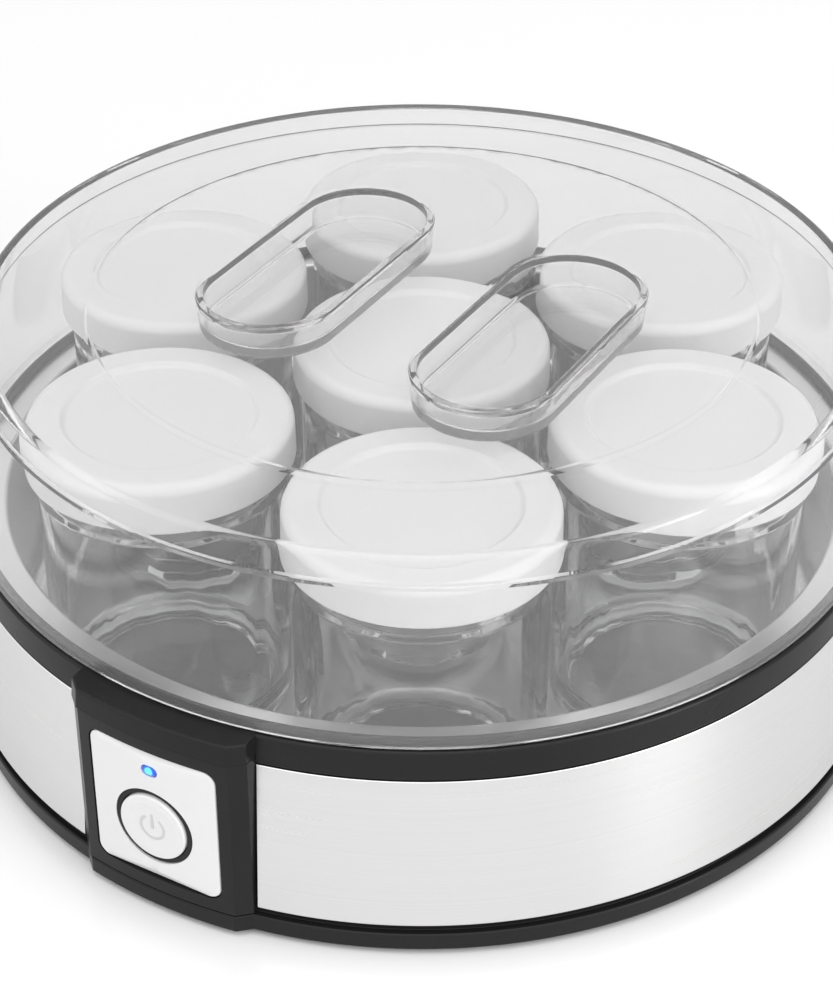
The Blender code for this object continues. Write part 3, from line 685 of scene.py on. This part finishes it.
def make_tub():
    """The pressed tub with a rolled inner edge and a flat flange."""
    floor = 14.5 * MM
    inside_radius = 109.5 * MM
    top = TUB[1][2]
    wall = 1.0 * MM
    rim = TUB[1][0]
    profile = rounded(
        [
            (0, floor, 0),
            (inside_radius, floor, 5 * MM),
            (inside_radius, top, 1.2 * MM),
            (rim, top, 0.4 * MM),
            (rim, top - wall, 0.3 * MM),
            (inside_radius + wall, top - wall, 0.2 * MM),
            (inside_radius + wall, floor - wall, 6 * MM),
            (0, floor - wall, 0),
        ],
        segments=8,
    )
    adopt(revolve("tub_fine", profile), "base", TUB_METAL, "heating_tub", slot="tub_metal")


# ---------------------------------------------------------------------------------------- the lid

LID_WALL = 2.2 * MM
LID_FOOT_RADIUS = 120.4 * MM
LID_EDGE_RADIUS = 113.6 * MM  # where the wall would meet the top
LID_EDGE_HEIGHT = 109.5 * MM
LID_EDGE_ROUND = 1.9 * MM
LID_INNER_ROUND = 0.9 * MM  # the fillet inside that edge
LID_STEP_HEIGHT = 101.4 * MM  # the fine step round the wall
LID_STEP = 0.55 * MM
CREASE_RADIUS = 85.0 * MM  # the step round the low dome
CREASE_HEIGHT = 110.0 * MM
CREASE_DROP = 0.25 * MM
DOME_HEIGHT = LID[1][2] - 0.2 * MM
POCKET_LENGTH = 80.0 * MM
POCKET_WIDTH = 34.0 * MM
POCKET_OFFSET = 33.0 * MM
POCKET_STAGGER = 2.7 * MM
POCKET_FLOOR = 102.8 * MM
POCKET_WALL = 1.8 * MM
POCKET_DRAFT = 0.35 * MM
POCKET_FLOOR_INSET = 6 * MM


def dome(x, y, drop):
    """The height of the lid's low dome, or of its underside when drop is the wall."""
    away = math.hypot(x, y) / CREASE_RADIUS
    return DOME_HEIGHT - (DOME_HEIGHT - CREASE_HEIGHT) * away**2 - drop


def pocket_rings(mould, sign, steps, drop):
    """One pocket's rim, wall and floor, as outlines stepped inwards. A step is (inset, height,
    on_dome), and its height is counted from the dome if on_dome is true. Gives back the first
    outline, which is the pocket's hole in the dome."""
    middle = (sign * POCKET_OFFSET, -sign * POCKET_STAGGER)
    rings = []
    for inset, height, on_dome in steps:
        outline = stadium(POCKET_LENGTH - 2 * inset, POCKET_WIDTH - 2 * inset, middle)
        if on_dome:
            rings.append([Vector((p.x, p.y, dome(p.x, p.y, drop) + height)) for p in outline])
        else:
            rings.append([Vector((p.x, p.y, height)) for p in outline])
    made = mould.stack(rings)
    mould.edit.faces.new(made[-1])
    first = steps[0][0]
    return stadium(POCKET_LENGTH - 2 * first, POCKET_WIDTH - 2 * first, middle)


def lid_skin(mould, drop, steps, profile):
    """One side of the lid: the turned wall and edge, the dome and both pockets."""
    made = mould.stack([at_height(circle(r, segments=TURNS), z) for r, z in profile])
    holes = [pocket_rings(mould, sign, steps, drop) for sign in (-1, 1)]
    border = circle(profile[0][0], segments=TURNS)
    mould.fill(border, holes, 4.5 * MM, lambda x, y: Vector((x, y, dome(x, y, drop))))
    return made[-1]


def floor_steps(inset, floor, radius, segments):
    """Outlines that round the corner between a pocket's wall, at inset, and its floor."""
    steps = []
    for i in range(segments + 1):
        angle = math.radians(90 * i / segments)
        height = floor + radius * (1 - math.sin(angle))
        steps.append((inset + radius * (1 - math.cos(angle)), height, False))
    steps.append((POCKET_FLOOR_INSET, floor, False))
    return steps


def make_lid():
    """The clear lid, one closed moulding with a thin wall everywhere."""
    edge = dome(CREASE_RADIUS, 0, 0)
    foot = LID[0][2]
    step_radius = LID_EDGE_RADIUS + 0.9 * MM
    outer = rounded(
        [
            (CREASE_RADIUS, edge, 0),
            (CREASE_RADIUS + 0.3 * MM, edge - 0.05 * MM, 0),
            (CREASE_RADIUS + 0.7 * MM, edge - CREASE_DROP, 0.2 * MM),
            (LID_EDGE_RADIUS, LID_EDGE_HEIGHT, LID_EDGE_ROUND),
            (step_radius, LID_STEP_HEIGHT, 0.15 * MM),
            (step_radius + LID_STEP, LID_STEP_HEIGHT - LID_STEP, 0.15 * MM),
            (LID_FOOT_RADIUS, foot + 0.5 * MM, 0),
            (LID_FOOT_RADIUS - 0.4 * MM, foot, 0),
        ],
        segments=10,
    )
    inner_foot = LID_FOOT_RADIUS - LID_WALL
    inner = rounded(
        [
            (CREASE_RADIUS, edge - LID_WALL, 0),
            (CREASE_RADIUS + 1.0 * MM, edge - LID_WALL - CREASE_DROP, 0.4 * MM),
            (LID_EDGE_RADIUS - LID_WALL, LID_EDGE_HEIGHT - LID_WALL, LID_INNER_ROUND),
            (step_radius - LID_WALL, LID_STEP_HEIGHT, 0.15 * MM),
            (step_radius + LID_STEP - LID_WALL, LID_STEP_HEIGHT - LID_STEP, 0.15 * MM),
            (inner_foot, foot + 0.4 * MM, 0),
            (inner_foot + 0.4 * MM, foot, 0),
        ],
        segments=12,
    )
    lip = 0.45 * MM
    rim = [(-2.2 * MM, 0, True), (-2.0 * MM, 0.7 * lip, True), (-1.8 * MM, lip, True)]
    rim += [(-0.5 * MM, lip, True), (-0.2 * MM, 0.8 * lip, True), (0, 0.2 * lip, True)]
    rim += [(0.05 * MM, -0.9 * MM, True)]
    rim += floor_steps(POCKET_DRAFT, POCKET_FLOOR, 1.4 * MM, 6)
    under = [(-POCKET_WALL - 0.4 * MM, 0, True), (-POCKET_WALL - 0.1 * MM, -0.1 * MM, True)]
    under += [(-POCKET_WALL, -0.4 * MM, True)]
    under += floor_steps(POCKET_DRAFT - POCKET_WALL, POCKET_FLOOR - POCKET_WALL, 0.9 * MM, 5)

    mould = Mould()
    outer_foot = lid_skin(mould, 0, rim, outer)
    mould.bridge(outer_foot, lid_skin(mould, LID_WALL, under, inner))
    adopt(mould.finish("lid_fine"), "lid", CLEAR, "lid", slot="clear_plastic")


# ------------------------------------------------------------------------------------------- jars


def make_jar(index):
    """A pressed glass jar: rounded foot, hollow under it, straight wall, neck with a bead."""
    low, high = JARS[index]
    at = ((low[0] + high[0]) / 2, (low[1] + high[1]) / 2, 0)
    foot, mouth = low[2], high[2]
    radius, wall, neck = 31.0 * MM, 2.6 * MM, 29.0 * MM
    profile = rounded(
        [
            (0, foot + 4.2 * MM, 0),
            (radius - wall - 9 * MM, foot + 3.6 * MM, 6 * MM),
            (radius - wall, foot + 4.4 * MM, 5.5 * MM),
            (radius - wall, mouth - 13.6 * MM, 2.5 * MM),
            (neck - wall, mouth - 8.6 * MM, 2.5 * MM),
            (neck - wall, mouth, 0.9 * MM),
            (neck, mouth, 0.9 * MM),
            (neck, mouth - 1.6 * MM, 0.3 * MM),
            (neck + 0.6 * MM, mouth - 2.6 * MM, 0.5 * MM),
            (neck + 0.6 * MM, mouth - 4.0 * MM, 0.5 * MM),
            (neck, mouth - 5.2 * MM, 0.4 * MM),
            (neck, mouth - 9.1 * MM, 1.2 * MM),
            (radius, mouth - 14.0 * MM, 2.5 * MM),
            (radius, foot + 2.5 * MM, 0),
            (radius - 0.6 * MM, foot + 1.0 * MM, 0),
            (radius - 2.2 * MM, foot, 1.0 * MM),
            (radius - 4.5 * MM, foot, 0.8 * MM),
            (radius - 7.0 * MM, foot + 1.2 * MM, 1.5 * MM),
            (0, foot + 1.5 * MM, 0),
        ],
        segments=5,
    )
    jar = revolve(f"jar_glass_{index + 1}", profile, SMALL_TURNS, at)
    adopt(jar, f"jar_{index + 1}", GLASS, f"jar_{index + 1}", slot="glass")


def make_cap(index):
    """A white cap: rounded rim, flat annulus, and a shallow round recess with a soft edge."""
    low, high = CAPS[index]
    at = ((low[0] + high[0]) / 2, (low[1] + high[1]) / 2, 0)
    bottom, top = low[2], high[2]
    radius = 33.4 * MM
    recess = top - 1.3 * MM
    profile = rounded(
        [
            (0, recess, 0),
            (23.4 * MM, recess, 1.2 * MM),
            (24.4 * MM, top, 0.9 * MM),
            (radius - 0.25 * MM, top, 2.9 * MM),
            (radius, bottom, 0.5 * MM),
            (radius - 1.5 * MM, bottom, 0.4 * MM),
            (radius - 2.2 * MM, bottom + 2.0 * MM, 0.5 * MM),
            (radius - 2.8 * MM, bottom + 6 * MM, 0.8 * MM),
            (radius - 2.8 * MM, recess - 1.3 * MM, 0.6 * MM),
            (0, recess - 1.3 * MM, 0),
        ],
        segments=8,
    )
    cap = revolve(f"cap_white_{index + 1}", profile, CAP_TURNS, at)
    adopt(cap, f"jar_cap_{index + 1}", CAP_WHITE, f"jar_cap_{index + 1}", slot="white_plastic")


# ---------------------------------------------------------------------------------- control panel


def on_cylinder(radius):
    """Lifts a point seen from the front, (x, z), onto the panel's curved front."""
    return lambda x, z: Vector((x, -math.sqrt(radius**2 - x**2), z))


def plate(name, outline_at, holes, front, thickness, edge, spacing):
    """A plate that follows the panel's curve, with a rounded front edge round its outline and
    plain holes. outline_at(inset) gives the outline drawn in by that much."""
    mould = Mould()
    steps = [(0, thickness), (0, edge)]
    for i in range(1, 6):
        angle = math.radians(90 * i / 5)
        steps.append((edge * (1 - math.cos(angle)), edge * (1 - math.sin(angle))))
    rings = []
    for inset, depth in steps:
        lift = on_cylinder(front - depth)
        rings.append([lift(p.x, p.y) for p in outline_at(inset)])
    mould.stack(rings)
    near, far = on_cylinder(front), on_cylinder(front - thickness)
    for hole in holes:
        mould.stack([[near(p.x, p.y) for p in hole], [far(p.x, p.y) for p in hole]])
    mould.fill(outline_at(edge), holes, spacing, near)
    mould.fill(outline_at(0), holes, spacing, far)
    return mould.finish(name)


def make_fascia():
    """The white plate on the panel, with its holes for the button and the indicator."""
    corner = 3.2 * MM
    holes = [circle(BUTTON_HOLE, (0, BUTTON_HEIGHT))]
    holes.append(rounded_rectangle(4.6 * MM, 3.2 * MM, 1.59 * MM, LAMP_MIDDLE))

    def outline_at(inset):
        width, height = FASCIA_WIDTH - 2 * inset, FASCIA_HEIGHT - 2 * inset
        return rounded_rectangle(width, height, corner - inset, FASCIA_MIDDLE)

    piece = plate("fascia_fine", outline_at, holes, PANEL_RADIUS, 1.5 * MM, 0.5 * MM, 2 * MM)
    adopt(piece, "base", FASCIA_WHITE, "fascia_plate", slot="white_plastic")


def panel_outline(inset):
    """The housing's outline from above, drawn in by inset."""
    front_half = PANEL_FRONT_HALF - inset * 0.6
    radius = PANEL_RADIUS - inset
    swing = math.degrees(math.asin(front_half / radius))
    outline = arc((0, 0), radius, 270 - swing, 270 + swing, 60)
    side = PANEL_SIDE - inset
    shoulder = -(PANEL_SHOULDER - inset * 0.6)
    back = -113.5 * MM
    outline += [Vector((side, shoulder)), Vector((side, back))]
    outline += [Vector((-side, back)), Vector((-side, shoulder))]
    return outline


def make_housing():
    """The panel's black block: softened top and bottom edges and a recess for the fascia."""
    low, high = HOUSING[0][2], HOUSING[1][2]
    edge = 0.5 * MM
    rings = []
    for i in range(5):
        angle = math.radians(90 * i / 4)
        rings.append((edge * (1 - math.sin(angle)), low + edge * (1 - math.cos(angle))))
    rings += [(inset, low + high - height) for inset, height in reversed(rings)]
    mould = Mould()
    made = mould.stack([at_height(panel_outline(inset), z) for inset, z in rings])
    mould.edit.faces.new(made[0])
    mould.edit.faces.new(made[-1])
    housing = mould.finish("panel_housing_fine")

    def outline_at(inset):
        width = FASCIA_WIDTH + 2 * GAP - 2 * inset
        height = FASCIA_HEIGHT + 2 * GAP - 2 * inset
        return rounded_rectangle(width, height, 3.5 * MM, FASCIA_MIDDLE)

    recess = plate("recess", outline_at, [], PANEL_RADIUS + 3 * MM, 4.8 * MM, 0.01 * MM, 2 * MM)
    near, far = 110 * MM, 130 * MM  # the cutters' ends, behind the recess and before the panel
    bore = [(0, far), (BUTTON_HOLE, far), (BUTTON_HOLE, near), (0, near)]
    hole = revolve("hole", bore, SMALL_TURNS, (0, 0, BUTTON_HEIGHT), forward=1)
    lamp_outline = rounded_rectangle(4.8 * MM, 3.4 * MM, 1.69 * MM, LAMP_MIDDLE)
    cut(housing, [recess, hole, prism("slot", lamp_outline, near, far)])
    # Its faces are flat or finely curved, so flat shading keeps the long cut faces free of streaks
    housing.modifiers.clear()
    housing.data.shade_flat()
    adopt(housing, "base", BLACK, "panel_housing", slot="black_plastic")


def make_button():
    """The button, its dark surround, the power symbol on it and the indicator above it."""
    at = (0, 0, BUTTON_HEIGHT)
    front = -BUTTON[0][1]
    radius = 9.3 * MM
    flange = 10.8 * MM
    plunger = 1.6 * MM
    button = rounded(
        [
            (0, front - 0.35 * MM, 0),
            (radius - 2.2 * MM, front - 0.05 * MM, 4 * MM),
            (radius, front - 0.1 * MM, 0.5 * MM),
            (radius, 121.7 * MM, 0.2 * MM),
            (flange, 121.7 * MM, 0.2 * MM),
            (flange, 120.9 * MM, 0.2 * MM),
            (plunger, 120.9 * MM, 0.2 * MM),
            (plunger, 119.6 * MM, 0.2 * MM),
            (0, 119.6 * MM, 0),
        ],
        segments=6,
    )
    piece = revolve("button_fine", button, SMALL_TURNS, at, forward=1)
    adopt(piece, "button", FASCIA_WHITE, "power_button", slot="white_plastic")

    face, back = 126.9 * MM, 122.0 * MM
    collar, outer = 10.85 * MM, 12.2 * MM
    surround = rounded(
        [
            (collar, face, 0.2 * MM),
            (collar, back + 1.0 * MM, 0),
            (outer, back + 1.0 * MM, 0.2 * MM),
            (outer, back, 0.2 * MM),
            (radius + GAP, back, 0.2 * MM),
            (radius + GAP, face, 0.2 * MM),
        ],
        closed=True,
    )
    piece = revolve("surround_fine", surround, SMALL_TURNS, at, forward=1)
    adopt(piece, "base", BLACK, "button_surround", slot="black_plastic")
    make_symbol(front)
    make_indicator()


def stroke(mould, inner, outer, low, high):
    """A raised strip between two open outlines in X and Z, low and high distances to the front."""
    rings = []
    for a, b in zip(inner, outer):
        corners = ((a, low), (a, high), (b, high), (b, low))
        rings.append([Vector((p.x, -reach, BUTTON_HEIGHT + p.y)) for p, reach in corners])
    made = mould.stack(rings)
    mould.edit.faces.new(made[0])
    mould.edit.faces.new(made[-1])


def make_symbol(front):
    """The generic power symbol: an open ring and a bar, as fine raised strokes."""
    radius, width = 3.3 * MM, 0.75 * MM
    low, high = front - 0.5 * MM, front - 0.16 * MM
    half_gap = 35
    mould = Mould()
    ends = (90 + half_gap, 450 - half_gap)
    inner, outer = (arc((0, 0), radius + side * width / 2, *ends, 48) for side in (-1, 1))
    stroke(mould, inner, outer, low, high)
    bar_ends = (radius * 1.25, -0.1 * radius)
    left, right = ([Vector((side * width / 2, y)) for y in bar_ends] for side in (-1, 1))
    stroke(mould, left, right, low, high)
    adopt(mould.finish("power_symbol"), "button", SYMBOL_GREY, slot="white_plastic")


def make_indicator():
    """The indicator's lens, a small oval with a domed face."""
    front = -LENS_BOX[0][1]
    steps = [(0, 122.4 * MM), (0, front - 0.5 * MM), (0.15 * MM, front - 0.25 * MM)]
    steps += [(0.45 * MM, front - 0.08 * MM), (0.85 * MM, front)]
    mould = Mould()
    rings = []
    for inset, reach in steps:
        width, height, corner = 4.0 * MM - 2 * inset, 2.6 * MM - 2 * inset, 1.29 * MM - inset
        outline = rounded_rectangle(width, height, corner, LAMP_MIDDLE)
        rings.append([Vector((p.x, -reach, p.y)) for p in outline])
    made = mould.stack(rings)
    mould.edit.faces.new(made[0])
    mould.edit.faces.new(made[-1])
    adopt(mould.finish("indicator_fine"), "base", BLUE, "indicator_lens", slot="indicator")


# ----------------------------------------------------------------------- underside and small parts


def make_feet():
    """Rubber feet with a stem pressed into the base and a shallow hollow under them."""
    for i in range(4):
        x, y = polar(FOOT_CIRCLE, 45 + 90 * i)
        profile = rounded(
            [
                (0, 5.4 * MM, 0),
                (2.2 * MM, 5.4 * MM, 0.6 * MM),
                (2.2 * MM, 1.2 * MM, 0.3 * MM),
                (6.9 * MM, 1.2 * MM, 0.4 * MM),
                (7.0 * MM, 0, 0.6 * MM),
                (4.5 * MM, 0, 0.3 * MM),
                (4.0 * MM, 0.4 * MM, 0.3 * MM),
                (0, 0.4 * MM, 0),
            ]
        )
        foot = revolve(f"foot_fine_{i + 1}", profile, FOOT_TURNS, (x, y, 0))
        adopt(foot, "base", RUBBER, f"foot_{i + 1}", slot="rubber")


def make_screws():
    """Round-headed screws with a cross recess, seen in the base's counterbores."""
    for i, degrees in enumerate(SCREW_ANGLES):
        x, y = polar(SCREW_CIRCLE, degrees)
        profile = rounded(
            [
                (0, 16.6 * MM, 0),
                (1.3 * MM, 16.0 * MM, 0.4 * MM),
                (1.3 * MM, 3.8 * MM, 0.2 * MM),
                (2.9 * MM, 3.8 * MM, 0.3 * MM),
                (2.9 * MM, 2.7 * MM, 0.5 * MM),
                (0, 2.2 * MM, 0),
            ]
        )
        screw = revolve(f"screw_fine_{i + 1}", profile, SCREW_TURNS, (x, y, 0))
        slots = []
        for turn in (0, 90):
            edit = bmesh.new()
            bmesh.ops.create_cube(edit, size=1)
            bmesh.ops.scale(edit, vec=(3.2 * MM, 0.7 * MM, 2.4 * MM), verts=edit.verts)
            turned = Matrix.Rotation(math.radians(turn), 3, "Z")
            bmesh.ops.rotate(edit, matrix=turned, verts=edit.verts)
            bmesh.ops.translate(edit, vec=(x, y, 2.0 * MM), verts=edit.verts)
            slots.append(mesh_object("slot", edit))
        cut(screw, slots)
        adopt(screw, "base", ZINC, f"base_screw_{i + 1}", slot="zinc_screw")


def make_inlet():
    """The grommet: a flared collar outside the band, a groove round the sheet and an open bore."""
    front = INLET[1][1]
    bore = 3.2 * MM
    profile = rounded(
        [
            (4.4 * MM, front, 0.5 * MM),
            (6.6 * MM, front - 1.6 * MM, 1.0 * MM),
            (6.6 * MM, 124.3 * MM, 0.3 * MM),
            (4.7 * MM, 124.3 * MM, 0.1 * MM),
            (4.7 * MM, 122.0 * MM, 0.1 * MM),
            (6.2 * MM, 122.0 * MM, 0.3 * MM),
            (4.9 * MM, 119.4 * MM, 0.4 * MM),
            (bore, 119.4 * MM, 0.4 * MM),
            (bore, front, 0.6 * MM),
        ],
        closed=True,
    )
    inlet = revolve("inlet_fine", profile, FOOT_TURNS, (0, 0, INLET_HEIGHT), forward=-1)
    adopt(inlet, "base", RUBBER, "cord_inlet", slot="rubber")


INNER_FINISHES = {
    "tub_seal": SILICONE,
    "heating_element": HEATER,
    "heat_shield": TUB_METAL,
    "thermostat": HEATER,
    "thermal_fuse": ZINC,
    "element_lead_left": SILICONE,
    "element_lead_right": SILICONE,
    "control_board": BOARD,
    "switch_body": BLACK,
    "indicator_lamp": BLUE,
    "switch_plunger": FASCIA_WHITE,
}


def finish_inner_nodes():
    """Gives the inner CAD pieces, which stay as they are, their own finishes."""
    for name, material in INNER_FINISHES.items():
        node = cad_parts[name]
        node.data.materials.clear()
        node.data.materials.append(material)


# ---------------------------------------------------------------------------------------- studio


def make_floor():
    edit = bmesh.new()
    bmesh.ops.create_grid(edit, x_segments=1, y_segments=1, size=FLOOR_REACH)
    floor = mesh_object("floor", edit)
    finish = Finish("floor_white", (0.68, 0.68, 0.68), 0.22)
    finish.vary_roughness(finish.noise(3), 0.19, 0.25)
    floor.data.materials.append(finish.material)


def area_light(name, place, target, size, power, tall=None):
    light = bpy.data.lights.new(name, "AREA")
    light.shape = "RECTANGLE"
    light.size = size
    light.size_y = tall or size
    light.energy = power
    lamp = add_object(name, light)
    lamp.location = place
    lamp.rotation_euler = (Vector(target) - Vector(place)).to_track_quat("-Z", "Y").to_euler()


def make_lights():
    """A soft light overhead and a tall one on the right, in a room that is brightest in front of
    the object and dimmer behind it."""
    area_light("overhead", (0.25, -0.3, 1.2), (0.1, -0.1, 0), 1.2, 5)
    area_light("right", (1.25, -0.1, 0.35), (0, 0, 0.04), 0.45, 7, tall=0.9)
    world = bpy.data.worlds.new("studio")
    bpy.context.scene.world = world
    world.use_nodes = True
    nodes, links = world.node_tree.nodes, world.node_tree.links
    direction = nodes.new("ShaderNodeTexCoord")
    facing = nodes.new("ShaderNodeVectorMath")
    facing.operation = "DOT_PRODUCT"
    facing.inputs[1].default_value = Vector(ROOM_FRONT).normalized()
    ramp = nodes.new("ShaderNodeMapRange")
    ramp.interpolation_type = "SMOOTHSTEP"
    ramp.inputs["From Min"].default_value = ROOM_DARK_UNTIL
    ramp.inputs["From Max"].default_value = ROOM_BRIGHT_FROM
    ramp.inputs["To Min"].default_value = ROOM_DARK
    ramp.inputs["To Max"].default_value = ROOM_BRIGHT
    links.new(direction.outputs["Generated"], facing.inputs[0])
    links.new(facing.outputs["Value"], ramp.inputs["Value"])
    links.new(ramp.outputs["Result"], nodes["Background"].inputs["Strength"])
    nodes["Background"].inputs["Color"].default_value = (1, 1, 1, 1)


def make_camera():
    azimuth, elevation = math.radians(CAMERA_AZIMUTH), math.radians(CAMERA_ELEVATION)
    level_reach = math.cos(elevation)
    across, along = math.sin(azimuth) * level_reach, -math.cos(azimuth) * level_reach
    back = Vector((across, along, math.sin(elevation)))
    data = bpy.data.cameras.new("camera")
    data.lens = CAMERA_LENS
    data.clip_start = 0.01
    data.clip_end = 50
    camera = add_object("camera", data)
    camera.location = AIM + back * CAMERA_DISTANCE
    level = (-back).to_track_quat("-Z", "Y")
    turn = level @ Quaternion((0, 0, 1), math.radians(CAMERA_ROLL))
    camera.rotation_euler = turn.to_euler()
    bpy.context.scene.camera = camera


make_camera()
make_base()
make_ring()
make_band()
make_tub()
make_lid()
for number in range(JAR_COUNT):
    make_jar(number)
    make_cap(number)
make_fascia()
make_housing()
make_button()
make_feet()
make_screws()
make_inlet()
finish_inner_nodes()
make_floor()
make_lights()
bpy.context.scene.view_settings.view_transform = "Standard"
